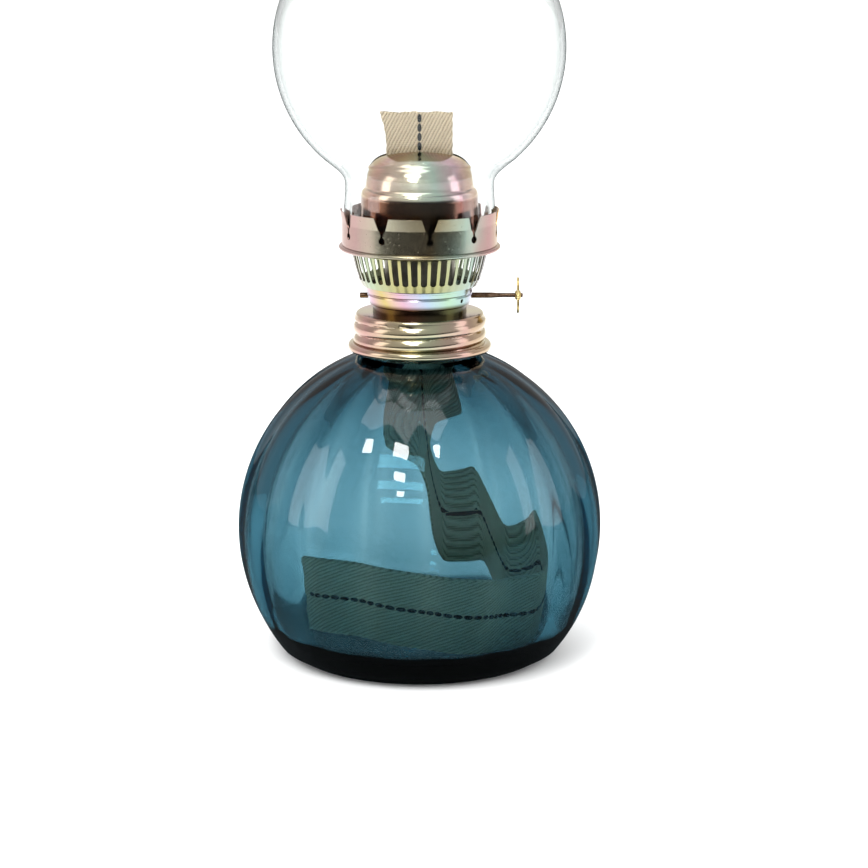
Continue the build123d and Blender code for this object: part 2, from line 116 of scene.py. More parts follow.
# %% Pieces
def make_piece(name, bm, material, body, replaced=(), sharp=40):
    """Turns a bmesh into a smooth-shaded piece that rides on a body and stands for CAD nodes."""
    mesh = bpy.data.meshes.new(name)
    bm.to_mesh(mesh)
    bm.free()
    mesh.materials.append(material)
    mesh.shade_smooth()
    mesh.set_sharp_from_angle(angle=radians(sharp))
    piece = bpy.data.objects.new(name, mesh)
    bpy.context.scene.collection.objects.link(piece)
    if body:
        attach(piece, body)
    if replaced:
        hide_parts(*replaced)
    print(name, "faces:", len(mesh.polygons))
    return piece


# %% Profiles
def draw(bm, *points):
    """Joins (radius, height) points in millimetres by edges, in the plane that a spin sweeps round."""
    corners = [bm.verts.new((radius * MM, 0, height * MM)) for radius, height in points]
    for first, second in zip(corners, corners[1:]):
        bm.edges.new((first, second))
    return corners


def draw_arc(bm, start, centre, angle, steps):
    """Spins one vertex about a centre in the profile's plane, anticlockwise, with the angle in degrees."""
    before = set(bm.verts)
    first = bm.verts.new((start[0] * MM, 0, start[1] * MM))
    middle = (centre[0] * MM, 0, centre[1] * MM)
    bmesh.ops.spin(bm, geom=[first], cent=middle, axis=(0, -1, 0), angle=radians(angle), steps=steps)
    return [vert for vert in bm.verts if vert not in before]


def round_corners(bm, corners, radius, segments=4):
    """Bevels corners of a profile, with the radius in millimetres."""
    bmesh.ops.bevel(
        bm,
        geom=corners,
        offset=radius * MM,
        offset_type="OFFSET",
        affect="VERTICES",
        segments=segments,
        profile=0.5,
        material=-1,
    )


def join_profile(bm):
    """Closes the joins between the strokes of a profile."""
    bmesh.ops.remove_doubles(bm, verts=bm.verts, dist=0.002 * MM)


def turn(bm, steps):
    """Spins a profile once round the lamp's axis, closes seam and poles, and points the faces outwards."""
    bmesh.ops.spin(
        bm,
        geom=bm.verts[:] + bm.edges[:],
        cent=(0, 0, 0),
        axis=(0, 0, 1),
        angle=tau,
        steps=steps,
        use_merge=True,
    )
    bmesh.ops.remove_doubles(bm, verts=bm.verts, dist=0.001 * MM)
    bmesh.ops.recalc_face_normals(bm, faces=bm.faces)


# %% [markdown]
# ## Camera
# The photograph looks a little down on the lamp from about 0.9 m with a long lens, so verticals stay nearly
# upright. The lens follows from the picture's size of one lamp width in pixels, and the lamp stands a few
# millimetres left of the middle.

# %% Camera
PICTURE_SIZE = 868
FOCAL_PIXELS = 2729
CAMERA_PLACE = (4.8, -900, 283)
CAMERA_TILT = 13.01
camera_data = bpy.data.cameras.new("camera")
camera_data.sensor_width = 36
camera_data.lens = camera_data.sensor_width * FOCAL_PIXELS / PICTURE_SIZE
camera = bpy.data.objects.new("camera", camera_data)
camera.location = Vector(CAMERA_PLACE) * MM
camera.rotation_euler = (radians(90 - CAMERA_TILT), 0, 0)
bpy.context.scene.collection.objects.link(camera)
bpy.context.scene.camera = camera
print("lens:", round(camera_data.lens, 1), "mm")

# %% [markdown]
# ## Floor, world and lamps
# The lamp stood on white in a bright room. A white floor takes the soft shadow, and the world is white for
# whatever looks straight at it or through glass. Metal needs something dark to look like metal, so the
# floor ends a little in front of the picture, and the room behind the camera is dark below and pale above.
# A window in it, with three rows of panes, makes the pale marks on the glass. The picture was taken as if
# through a polarising filter: smooth glass shows little of the floor's and the room's mirror image.

# %% Floor
FLOOR_HALF = 4000
FLOOR_FRONT = -330
bm = bmesh.new()
bmesh.ops.create_grid(bm, x_segments=1, y_segments=1, size=FLOOR_HALF * MM)
bmesh.ops.translate(bm, vec=(0, (FLOOR_HALF + FLOOR_FRONT) * MM, 0), verts=bm.verts)
floor_mesh = bpy.data.meshes.new("floor")
bm.to_mesh(floor_mesh)
bm.free()
floor = bpy.data.objects.new("floor", floor_mesh)
bpy.context.scene.collection.objects.link(floor)


def smooth_mirror(tree, rays):
    """One for rays that smooth glass has just mirrored, which the polarising filter holds back."""
    return add_node(
        tree,
        "ShaderNodeMath",
        {0: rays.outputs["Is Singular Ray"], 1: rays.outputs["Is Reflection Ray"]},
        operation="MULTIPLY",
    )


# Matt paper: bright all over, and darker in the mirror of smooth glass
white_paper = blank_material("white_paper_sweep")
tree = white_paper.node_tree
rays = add_node(tree, "ShaderNodeLightPath")
mirrored = smooth_mirror(tree, rays)
filtered = add_node(
    tree,
    "ShaderNodeMix",
    {"Factor": mirrored.outputs["Value"], 6: linear("#f6f7f7"), 7: linear("#34393b")},
    data_type="RGBA",
)
paper = add_node(tree, "ShaderNodeBsdfDiffuse", {"Color": filtered.outputs[2]})
add_node(tree, "ShaderNodeOutputMaterial", {"Surface": paper.outputs["BSDF"]})
floor_mesh.materials.append(white_paper)
print("floor from", FLOOR_FRONT, "to", 2 * FLOOR_HALF + FLOOR_FRONT, "mm")

# %% World
# Seen from the lamp, the room is white behind, grey at the sides and dark in front, where its upper part
# has pale walls. The soft light that falls on the floor is stronger than what reflections show, as in a
# picture exposed for a white floor. What is seen straight on, or through glass with no mirror on the way,
# is white.
FLOOR_LIGHT = 1.95
FILTERED_LIGHT = 0.3
world = bpy.data.worlds.new("bright_room")
bpy.context.scene.world = world
world.use_nodes = True
tree = world.node_tree
tree.nodes.clear()
direction = add_node(tree, "ShaderNodeTexCoord")
behind = add_node(
    tree,
    "ShaderNodeVectorMath",
    {0: direction.outputs["Generated"], 1: (0.0, 0.5, 0.0)},
    operation="DOT_PRODUCT",
)
turned = add_node(tree, "ShaderNodeMath", {0: behind.outputs["Value"], 1: 0.5}, operation="ADD")
room = add_node(
    tree,
    "ShaderNodeValToRGB",
    {"Fac": turned.outputs["Value"]},
    stops=((0.12, "#101112"), (0.3, "#4a4c4e"), (0.5, "#b0b3b5"), (0.72, "#fdfdfd")),
)
axes = add_node(tree, "ShaderNodeSeparateXYZ", {"Vector": direction.outputs["Generated"]})
walls = add_node(
    tree,
    "ShaderNodeMapRange",
    {"Value": axes.outputs["Z"], "From Min": -0.1, "From Max": 0.15, "To Max": 0.75},
    interpolation_type="SMOOTHSTEP",
)
room_and_walls = add_node(
    tree,
    "ShaderNodeMix",
    {"Factor": 1.0, 6: room.outputs["Color"], 7: walls.outputs["Result"]},
    data_type="RGBA",
    blend_type="LIGHTEN",
)
rays = add_node(tree, "ShaderNodeLightPath")
unmirrored = add_node(
    tree, "ShaderNodeMath", {0: rays.outputs["Glossy Depth"], 1: 0.5}, operation="LESS_THAN"
)
seen_through = add_node(
    tree,
    "ShaderNodeMath",
    {
        0: rays.outputs["Is Transmission Ray"],
        1: unmirrored.outputs["Value"],
        2: rays.outputs["Is Camera Ray"],
    },
    operation="MULTIPLY_ADD",
)
seen = add_node(
    tree,
    "ShaderNodeMix",
    {"Factor": seen_through.outputs["Value"], 6: room_and_walls.outputs[2], 7: linear("#fdfdfd")},
    data_type="RGBA",
)
mirrored = smooth_mirror(tree, rays)
filtered = add_node(
    tree,
    "ShaderNodeMath",
    {0: mirrored.outputs["Value"], 1: FILTERED_LIGHT - 1.0, 2: 1.0},
    operation="MULTIPLY_ADD",
)
level = add_node(
    tree,
    "ShaderNodeMath",
    {0: rays.outputs["Is Diffuse Ray"], 1: FLOOR_LIGHT - 1.0, 2: filtered.outputs["Value"]},
    operation="MULTIPLY_ADD",
)
light = add_node(
    tree, "ShaderNodeBackground", {"Color": seen.outputs[2], "Strength": level.outputs["Value"]}
)
add_node(tree, "ShaderNodeOutputWorld", {"Surface": light.outputs["Background"]})
print("world nodes:", len(tree.nodes))


# %% Lamps
def softbox(name, place, target, size, watts, colour="#ffffff"):
    """A rectangular area lamp that looks at a target, with places and sizes in millimetres."""
    lamp = bpy.data.lights.new(name, "AREA")
    lamp.shape = "RECTANGLE"
    lamp.size, lamp.size_y = size[0] * MM, size[1] * MM
    lamp.energy = watts
    lamp.color = linear(colour)[:3]
    holder = bpy.data.objects.new(name, lamp)
    holder.location = Vector(place) * MM
    holder.rotation_euler = (Vector(target) - Vector(place)).to_track_quat("-Z", "Y").to_euler()
    bpy.context.scene.collection.objects.link(holder)
    return holder


lamp_middle = (0, 0, 120)
softbox("overhead_softbox", (-150, -150, 1100), lamp_middle, (700, 500), 2.2)
softbox("left_softbox", (-900, -250, 420), lamp_middle, (350, 700), 1.6)
softbox("right_softbox", (900, -150, 380), lamp_middle, (350, 700), 1.2)
print("softboxes aim at", lamp_middle)

# %% Window
# Panes of a window in front of the lamp: bearing and height above the font in degrees, width and height in
# millimetres, and watts
WINDOW_DISTANCE = 1200
WINDOW_AIM = 75
panes = ((-20, 56, 460, 190, 5.5), (-16, 40, 360, 110, 2.6), (-12, 30, 240, 70, 1.1))
for row, (bearing, height, width, tall, watts) in enumerate(panes):
    level_reach = WINDOW_DISTANCE * cos(radians(height))
    pane = (
        level_reach * sin(radians(bearing)),
        -level_reach * cos(radians(bearing)),
        WINDOW_AIM + WINDOW_DISTANCE * sin(radians(height)),
    )
    softbox(f"window_row_{row}", pane, (0, 0, WINDOW_AIM), (width, tall), watts)
print("panes of the window:", len(panes))

# %% [markdown]
# ## Glass of the font
# The font is pressed teal glass, about 4 mm thick in the wall and 8 mm in the base, with eighteen upright
# lobes outside and a smooth cavity inside, so that each lobe works as an upright lens. The colour comes
# from the thickness of glass that the light crosses, so it is absorption in the volume, which darkens the
# base and the rims by itself. The surface colour adds painted shade at the sides and in the base, and a
# paler painted light low on the sides.

# %% Teal pressed glass
# Soda-lime glass, polished by the mould's heat: clear reflections, and a blue-green body colour.
# The surface colour is painted darker at the sides, as shade, where the glass is seen at a slant, but less
# near the white floor, where a paler colour paints the floor's light from below. The thick base is painted
# darker, as shade, as if it let little light through.
BASE_SHADE_LEVEL = 9.9
BASE_SHADE_EDGE = 1.1
teal_glass = blank_material("teal_pressed_glass")
tree = teal_glass.node_tree
# Painted shade: the glass's colour darkens where it is seen at a slant
slant = add_node(tree, "ShaderNodeLayerWeight", {"Blend": 0.5})
painted_edge_shade = add_node(
    tree,
    "ShaderNodeValToRGB",
    {"Fac": slant.outputs["Facing"]},
    stops=((0.15, "#f4f5f5"), (0.4, "#dde0e1"), (0.57, "#b4b9ba"), (0.64, "#5a6265"), (0.72, "#a3a8aa")),
)
place = add_node(tree, "ShaderNodeTexCoord")
height = add_node(tree, "ShaderNodeSeparateXYZ", {"Vector": place.outputs["Object"]})
# Painted light: low on the sides a paler colour stands for the white floor lighting the glass from below
floor_light_mask = add_node(
    tree,
    "ShaderNodeMapRange",
    {"Value": height.outputs["Z"], "From Min": 8 * MM, "From Max": 45 * MM},
    interpolation_type="SMOOTHSTEP",
)
painted_floor_light = add_node(
    tree,
    "ShaderNodeMix",
    {"Factor": floor_light_mask.outputs["Result"], 6: linear("#e8ebeb"), 7: painted_edge_shade.outputs["Color"]},
    data_type="RGBA",
)
# Painted shade: below the base level the glass's colour is multiplied darker
base_shade_mask = add_node(
    tree,
    "ShaderNodeMapRange",
    {
        "Value": height.outputs["Z"],
        "From Min": (BASE_SHADE_LEVEL + BASE_SHADE_EDGE) * MM,
        "From Max": (BASE_SHADE_LEVEL - BASE_SHADE_EDGE) * MM,
    },
    interpolation_type="SMOOTHSTEP",
)
shaded = add_node(
    tree,
    "ShaderNodeMix",
    {"Factor": base_shade_mask.outputs["Result"], 6: painted_floor_light.outputs[2], 7: linear("#454d52")},
    data_type="RGBA",
    blend_type="MULTIPLY",
)
glass = add_node(
    tree,
    "ShaderNodeBsdfPrincipled",
    {
        "Base Color": shaded.outputs[2],
        "Roughness": 0.0,
        "IOR": 1.51,
        "Transmission Weight": 1.0,
    },
)
body_colour = add_node(
    tree, "ShaderNodeVolumeAbsorption", {"Color": linear("#53b4c4"), "Density": 310.0}
)
add_node(
    tree,
    "ShaderNodeOutputMaterial",
    {"Surface": glass.outputs["BSDF"], "Volume": body_colour.outputs["Volume"]},
)
print(teal_glass.name, "nodes:", len(tree.nodes))

# %% Sizes of the font
font_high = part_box("font")[1]
font_radius = font_high.x / MM
rim_level = font_high.z / MM
belly_height = 43.0
font_rise = 63.4
font_drop = 63.3
heel_height = 3.2
foot_radius = 41.5
foot_ring_width = 11.0
foot_recess_depth = 1.5
glass_wall = 4.3
shoulder_wall = 6.0
base_thickness = 8.5
neck_radius = 19.6
neck_wall = 3.1
neck_height = 12.5
lobe_count = 18
lobe_depth = 0.95
groove_share = 0.36
lobe_phase = 3.5
lobe_fade_height = 30.0
LOBE_STEPS = 16
print("font radius and rim in mm:", round(font_radius, 2), round(rim_level, 2))


# %% Font profile
def bowl(bm, radius, rise, drop, low, high, steps):
    """Draws a bowl's wall between two levels: an arc made taller or flatter above and below its belly."""
    low_turn = degrees(asin((low - belly_height) / drop))
    high_turn = degrees(asin((high - belly_height) / rise))
    start = (radius * cos(radians(low_turn)), radius * sin(radians(low_turn)))
    wall = draw_arc(bm, start, (0, 0), high_turn - low_turn, steps)
    bmesh.ops.scale(bm, vec=(1, 1, rise / radius), verts=[vert for vert in wall if vert.co.z > 0])
    bmesh.ops.scale(bm, vec=(1, 1, drop / radius), verts=[vert for vert in wall if vert.co.z < 0])
    bmesh.ops.translate(bm, vec=(0, 0, belly_height * MM), verts=wall)
    return wall


bm = bmesh.new()
shoulder = rim_level - neck_height
neck_bore = neck_radius - neck_wall
inner_radius = font_radius - glass_wall
inner_rise = font_rise - shoulder_wall
inner_drop = font_drop - glass_wall
cavity_heel = base_thickness + 5.0
bore_level = belly_height + inner_rise * sqrt(1 - (neck_bore / inner_radius) ** 2)
outer_wall = bowl(bm, font_radius, font_rise, font_drop, heel_height, shoulder, 60)
heel = outer_wall[0].co.x / MM
foot = draw(
    bm,
    (0, foot_recess_depth),
    (foot_radius - foot_ring_width, foot_recess_depth),
    (foot_radius - foot_ring_width + 2, 0),
    (foot_radius - 1, 0),
    (foot_radius + 1.5, 0.35),
    (foot_radius + 3.2, 1.3),
    (heel, heel_height),
)
neck = draw(
    bm,
    (neck_radius, shoulder),
    (neck_radius, rim_level),
    (neck_bore, rim_level),
    (neck_bore, bore_level),
)
inner_wall = bowl(bm, inner_radius, inner_rise, inner_drop, cavity_heel, bore_level, 48)
inner_heel = inner_wall[0].co.x / MM
draw(
    bm,
    (0, base_thickness),
    (inner_heel - 8.6, base_thickness),
    (inner_heel - 4.2, base_thickness + 1.0),
    (inner_heel - 1.6, base_thickness + 2.7),
    (inner_heel, cavity_heel),
)
round_corners(bm, [neck[1], neck[2]], 0.6)
round_corners(bm, [foot[1], foot[2]], 0.6)
join_profile(bm)
neck_edges = [
    edge
    for edge in bm.edges
    if all(abs(v.co.x / MM - neck_radius) < 0.01 for v in edge.verts)
    and all(v.co.z / MM > shoulder - 0.1 for v in edge.verts)
]
bmesh.ops.subdivide_edges(bm, edges=neck_edges, cuts=28)
turn(bm, lobe_count * LOBE_STEPS)
print("columns of the font:", lobe_count * LOBE_STEPS)

# %% Lobes and thread of the font
THREAD_PITCH = 4.2
THREAD_HEIGHT = 0.8


def lobe_dip(azimuth):
    """The share of the lobes' depth at an azimuth: round crests, and rounded grooves between them."""
    from_crest = abs(2 * (azimuth * lobe_count / 360 % 1) - 1)
    if from_crest < 1 - groove_share:
        return from_crest**2 / (1 - groove_share)
    return 1 - (1 - from_crest) ** 2 / groove_share


for vert in bm.verts:
    radius = hypot(vert.co.x, vert.co.y) / MM
    level = vert.co.z / MM
    azimuth = degrees(atan2(vert.co.y, vert.co.x))
    middle_of_wall = 0
    if heel_height < level < shoulder:
        height = font_rise if level > belly_height else font_drop
        level_share = sqrt(max(0, 1 - ((level - belly_height) / height) ** 2))
        middle_of_wall = (font_radius - glass_wall / 2) * level_share
    if middle_of_wall and radius > middle_of_wall:
        fade = min((level - heel_height) / lobe_fade_height, 1) * min((shoulder - level) / 2, 1)
        vert.co.xy *= 1 - lobe_depth / font_radius * fade * lobe_dip(azimuth)
    elif abs(radius - neck_radius) < 0.01 and level > shoulder:
        wave = cos(tau * ((level - rim_level) / THREAD_PITCH - azimuth / 360))
        ends = min((level - shoulder) / 2.5, (rim_level - 1.5 - level) / 2.5, 1)
        vert.co.xy *= 1 + THREAD_HEIGHT / neck_radius * max(wave, 0) ** 2 * max(ends, 0)
first_lobe = Matrix.Rotation(radians(lobe_phase - 90), 3, "Z")
bmesh.ops.rotate(bm, cent=(0, 0, 0), matrix=first_lobe, verts=bm.verts)
make_piece("font_glass", bm, teal_glass, "font", ["font"], sharp=60)

# %% [markdown]
# ## Chimney
# The chimney is clear blown glass, 1.7 mm thick, with a straight foot in the gallery, a ball round the
# flame and a straight flue. Its profile is strokes for the foot, an arc for the ball and one stroke for the
# flue. Blown glass has no corners, so the joins are relaxed before the profile is spun.

# %% Clear blown glass
# Borosilicate glass, blown and smooth: almost no colour, with a painted grey shade where the wall turns
# away
clear_glass = blank_material("clear_blown_glass")
tree = clear_glass.node_tree
slant = add_node(tree, "ShaderNodeLayerWeight", {"Blend": 0.5})
# Painted shade: a grey line where the chimney's wall turns away
painted_edge_shade = add_node(
    tree,
    "ShaderNodeValToRGB",
    {"Fac": slant.outputs["Facing"]},
    stops=((0.35, "#ffffff"), (0.62, "#f9fbfa"), (0.8, "#dbe1e0"), (0.95, "#a3abaa")),
)
glass = add_node(
    tree,
    "ShaderNodeBsdfPrincipled",
    {
        "Base Color": painted_edge_shade.outputs["Color"],
        "Roughness": 0.0,
        "IOR": 1.47,
        "Transmission Weight": 1.0,
    },
)
body_colour = add_node(
    tree, "ShaderNodeVolumeAbsorption", {"Color": linear("#d8ebe0"), "Density": 12.0}
)
add_node(
    tree,
    "ShaderNodeOutputMaterial",
    {"Surface": glass.outputs["BSDF"], "Volume": body_colour.outputs["Volume"]},
)
print(clear_glass.name, "nodes:", len(tree.nodes))

# %% Chimney glass
chimney_low, chimney_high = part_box("chimney")
chimney_foot = chimney_low.z / MM
chimney_top = chimney_high.z / MM
chimney_foot_radius = 25.1
chimney_waist_radius = 24.4
chimney_ball_radius = chimney_high.x / MM
chimney_ball_level = chimney_foot + 66.0
chimney_flue_radius = 21.0
chimney_collar_level = chimney_foot + 13
chimney_wall = 1.7
low_turn = degrees(acos(chimney_waist_radius / chimney_ball_radius))
high_turn = degrees(acos(chimney_flue_radius / chimney_ball_radius))
waist_level = chimney_ball_level - sqrt(chimney_ball_radius**2 - chimney_waist_radius**2)
flue_level = chimney_ball_level + sqrt(chimney_ball_radius**2 - chimney_flue_radius**2)

bm = bmesh.new()
draw(
    bm,
    (chimney_foot_radius, chimney_foot),
    (chimney_foot_radius, chimney_collar_level),
    (chimney_waist_radius, waist_level),
)
draw(bm, (chimney_flue_radius, flue_level), (chimney_flue_radius, chimney_top))
bmesh.ops.subdivide_edges(bm, edges=bm.edges[:], cuts=24)
draw_arc(bm, (chimney_waist_radius, waist_level), (0, chimney_ball_level), low_turn + high_turn, 110)
join_profile(bm)
relaxed_joins = ((waist_level, 5, 40), (flue_level, 14, 160), (chimney_collar_level, 6, 20))
for join_level, reach, passes in relaxed_joins:
    near = [vert for vert in bm.verts if abs(vert.co.z / MM - join_level) < reach]
    for _ in range(passes):
        bmesh.ops.smooth_vert(bm, verts=near, factor=0.5, use_axis_x=True, use_axis_z=True)
turn(bm, 144)
bmesh.ops.solidify(bm, geom=bm.faces[:], thickness=chimney_wall * MM)
rims = [edge for edge in bm.edges if edge.is_manifold and edge.calc_face_angle() > radians(60)]
bmesh.ops.bevel(
    bm,
    geom=rims,
    offset=0.5 * MM,
    offset_type="OFFSET",
    affect="EDGES",
    segments=3,
    profile=0.5,
    material=-1,
)
bmesh.ops.recalc_face_normals(bm, faces=bm.faces)
make_piece("chimney_glass", bm, clear_glass, "chimney", ["chimney"], sharp=60)

# %% [markdown]
# ## Plated sheet metal
# The burner is pressed from thin steel, zinc plated and passivated. The passivation is a film thinner than
# a wavelength of light, so the same part looks champagne, pink, lilac or mint from place to place. On the
# real burner the film's colour drifts round each part with its thickness. Here a ramp of those colours goes
# round the axis, from the left side to the right and back behind, and cloudy noise breaks up its bands.


# %% Rainbow zinc
def rainbow_zinc(name, film, roughness, cloud=0.10, climb=0.0, shade_below=-1.0, shade_colour="#ffffff"):
    """Zinc plate whose film colours run from the left side of the lamp to the right, and drift with height.

    Below a level in millimetres its colours are multiplied by a darker one, a painted shade."""
    material = blank_material(name)
    tree = material.node_tree
    place = add_node(tree, "ShaderNodeTexCoord")
    around = add_node(
        tree, "ShaderNodeTexGradient", {"Vector": place.outputs["Object"]}, gradient_type="RADIAL"
    )
    doubled = add_node(tree, "ShaderNodeMath", {0: around.outputs["Fac"], 1: 2.0}, operation="MULTIPLY")
    side = add_node(tree, "ShaderNodeMath", {0: doubled.outputs["Value"], 1: 1.0}, operation="PINGPONG")
    clouds = add_node(
        tree,
        "ShaderNodeTexNoise",
        {"Vector": place.outputs["Object"], "Scale": 1 / (14 * MM), "Detail": 3.0},
    )
    drift = add_node(
        tree,
        "ShaderNodeMath",
        {0: clouds.outputs["Fac"], 1: 2 * cloud, 2: -cloud},
        operation="MULTIPLY_ADD",
    )
    height = add_node(tree, "ShaderNodeSeparateXYZ", {"Vector": place.outputs["Object"]})
    rise = add_node(
        tree, "ShaderNodeMath", {0: height.outputs["Z"], 1: climb / (10 * MM)}, operation="MULTIPLY"
    )
    wander = add_node(
        tree, "ShaderNodeMath", {0: drift.outputs["Value"], 1: rise.outputs["Value"]}, operation="ADD"
    )
    shifted = add_node(
        tree, "ShaderNodeMath", {0: side.outputs["Value"], 1: wander.outputs["Value"]}, operation="ADD"
    )
    wrapped = add_node(tree, "ShaderNodeMath", {0: shifted.outputs["Value"], 1: 1.0}, operation="PINGPONG")
    thin_film = add_node(tree, "ShaderNodeValToRGB", {"Fac": wrapped.outputs["Value"]}, stops=film)
    shade_mask = add_node(
        # Painted shade: below a level the film's colours are multiplied by a darker one
        tree,
        "ShaderNodeMapRange",
        {
            "Value": height.outputs["Z"],
            "From Min": (shade_below + 0.8) * MM,
            "From Max": (shade_below - 0.8) * MM,
        },
        interpolation_type="SMOOTHSTEP",
    )
    film_and_painted_shade = add_node(
        tree,
        "ShaderNodeMix",
        {"Factor": shade_mask.outputs["Result"], 6: thin_film.outputs["Color"], 7: linear(shade_colour)},
        data_type="RGBA",
        blend_type="MULTIPLY",
    )
    grain = add_node(
        tree,
        "ShaderNodeTexNoise",
        {"Vector": place.outputs["Object"], "Scale": 1 / (0.9 * MM), "Detail": 2.0},
    )
    satin = add_node(
        tree,
        "ShaderNodeMapRange",
        {"Value": grain.outputs["Fac"], "To Min": roughness * 0.75, "To Max": roughness * 1.3},
    )
    ripple = add_node(
        tree, "ShaderNodeBump", {"Height": grain.outputs["Fac"], "Strength": 0.04, "Distance": 0.05 * MM}
    )
    shader = add_node(
        tree,
        "ShaderNodeBsdfPrincipled",
        {
            "Base Color": film_and_painted_shade.outputs[2],
            "Metallic": 1.0,
            "Roughness": satin.outputs["Result"],
            "Normal": ripple.outputs["Normal"],
        },
    )
    add_node(tree, "ShaderNodeOutputMaterial", {"Surface": shader.outputs["BSDF"]})
    print(name, "film colours:", len(film))
    return material


# %% Films of the burner's parts
# Satin plate under a clear film: soft reflections in the film's colour, and painted shade low on the cup
# and the dome
cap_zinc = rainbow_zinc(
    "champagne_zinc_plate",
    (
        (0.0, "#b3a376"),
        (0.18, "#b08a83"),
        (0.38, "#a99c80"),
        (0.55, "#a3a48a"),
        (0.72, "#ad8f85"),
        (1.0, "#b5a46c"),
    ),
    0.17,
)
cup_zinc = rainbow_zinc(
    "pastel_zinc_plate",
    (
        (0.0, "#b5a666"),
        (0.16, "#b58b95"),
        (0.30, "#9c90ad"),
        (0.45, "#94adad"),
        (0.58, "#97b29a"),
        (0.72, "#98a8ba"),
        (0.86, "#b592a0"),
        (1.0, "#b09e66"),
    ),
    0.2,
    cloud=0.05,
    climb=0.06,
    # Painted shade: the cup's lower band is darker
    shade_below=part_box("base_cup")[1].z / MM - 5.4,
    shade_colour="#7d6a50",
)
basket_zinc = rainbow_zinc(
    "straw_zinc_plate",
    (
        (0.0, "#a38d88"),
        (0.2, "#9aa68e"),
        (0.4, "#9c9668"),
        (0.6, "#98976a"),
        (0.8, "#96a69c"),
        (1.0, "#a38b8d"),
    ),
    0.2,
    cloud=0.06,
)
gallery_zinc = rainbow_zinc(
    "rose_zinc_plate",
    (
        (0.0, "#a37c6c"),
        (0.2, "#a18480"),
        (0.36, "#94907e"),
        (0.55, "#8c7f62"),
        (0.68, "#8c9c90"),
        (0.86, "#a37d7a"),
        (1.0, "#a88a52"),
    ),
    0.24,
)
dome_zinc = rainbow_zinc(
    "honey_zinc_plate",
    (
        (0.0, "#d6c27e"),
        (0.2, "#cca596"),
        (0.4, "#d6cfb8"),
        (0.58, "#bcd0c2"),
        (0.75, "#cbabb2"),
        (1.0, "#d2b46c"),
    ),
    0.17,
    # Painted shade: the dome's skirt is darker
    shade_below=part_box("dome")[0].z / MM + 17.6,
    shade_colour="#a58576",
)

# %% [markdown]
# ## Screw cap
# The cap is drawn from sheet, and its thread is rolled into the wall, so each bead shows outside as well as
# inside. A level bead would be a plain spin, but a thread climbs: the wall is spun first and its rows are
# then pushed out where the climbing thread passes. The edge is curled under, so no sharp sheet is left.

# %% Sheet metal
sheet = 0.45


def thicken(bm, thickness):
    """Gives an open sheet its thickness in millimetres and points the closed shell's faces outwards."""
    bmesh.ops.solidify(bm, geom=bm.faces[:], thickness=thickness * MM)
    bmesh.ops.recalc_face_normals(bm, faces=bm.faces)


print("sheet in mm:", sheet)

# %% Cap
cap_low, cap_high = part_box("screw_cap")
cap_top = cap_high.z / MM
cap_bottom = cap_low.z / MM
cap_corner = 1.0
cap_clearance = 1.4
cap_groove_radius = neck_radius + cap_clearance + sheet
thread_depth = 0.85
curl_radius = 1.1
curl_level = cap_bottom + curl_radius
shank_radius = 15.7

bm = bmesh.new()
plate = draw(
    bm,
    (shank_radius + 0.05, cap_top),
    (cap_groove_radius, cap_top),
    (cap_groove_radius, cap_top - 2 * cap_corner),
)
round_corners(bm, [plate[1]], cap_corner, 6)
wall = draw(bm, (cap_groove_radius, cap_top - 2 * cap_corner), (cap_groove_radius, curl_level))
bmesh.ops.subdivide_edges(bm, edges=list(wall[0].link_edges), cuts=40)
draw_arc(bm, (cap_groove_radius, curl_level), (cap_groove_radius + curl_radius, curl_level), 310, 22)
join_profile(bm)
turn(bm, 192)
thread_top = cap_top - cap_corner
for vert in bm.verts:
    radius = hypot(vert.co.x, vert.co.y) / MM
    level = vert.co.z / MM
    if abs(radius - cap_groove_radius) < 0.01 and level > curl_level:
        azimuth = atan2(vert.co.y, vert.co.x) / tau
        across_bead = ((level - thread_top) / THREAD_PITCH - azimuth) % 1
        ends = min((thread_top - level) / 1.2, (level - curl_level) / 1.2, 1)
        bulge = thread_depth * (1 - (2 * across_bead - 1) ** 2) * max(ends, 0)
        vert.co.xy *= 1 + bulge / radius
thicken(bm, sheet)
make_piece("cap_shell", bm, cap_zinc, "burner", ["screw_cap"])

# %% [markdown]
# ## Basket
# The draught basket widens upwards from the cup to the gallery, and air is drawn in through a ring of
# upright slots. It is spun with enough columns that a slot is a few of them: the faces of those columns are
# taken out, the slots' lower ends are pulled to half rounds, and the sheet gets its thickness last.

# %% Slotted basket
basket_low, basket_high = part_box("basket")
cup_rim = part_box("base_cup")[1].z / MM
basket_top = basket_high.z / MM
SLOT_COUNT = 42
SLOT_COLUMNS = 9
OPEN_COLUMNS = 6
tuck_radius = 17.5
basket_step_radius = 19.0
basket_middle_radius = 20.9
basket_top_radius = 22.1
flange_radius = basket_high.x / MM
slot_radius = 0.55
slot_bottom = cup_rim + 3.0
slot_top = basket_top - 2 * sheet
middle_level = (cup_rim + basket_top) / 2
bottom_share = (slot_bottom - cup_rim) / (middle_level - cup_rim)
slot_bottom_radius = basket_step_radius + (basket_middle_radius - basket_step_radius) * bottom_share

bm = bmesh.new()
draw(
    bm,
    (tuck_radius, basket_low.z / MM),
    (tuck_radius, cup_rim + 0.05),
    (basket_step_radius, cup_rim + sheet),
    (slot_bottom_radius, slot_bottom),
    (basket_middle_radius, middle_level),
    (basket_top_radius, slot_top),
    (basket_top_radius, basket_top),
    (flange_radius, basket_top),
)
turn(bm, SLOT_COUNT * SLOT_COLUMNS)


def column_place(point):
    """The place of a point round the basket, counted in columns from the middle of the nearest slot."""
    columns = atan2(point.y, point.x) / tau * SLOT_COUNT * SLOT_COLUMNS
    return (columns + SLOT_COLUMNS / 2) % SLOT_COLUMNS - SLOT_COLUMNS / 2


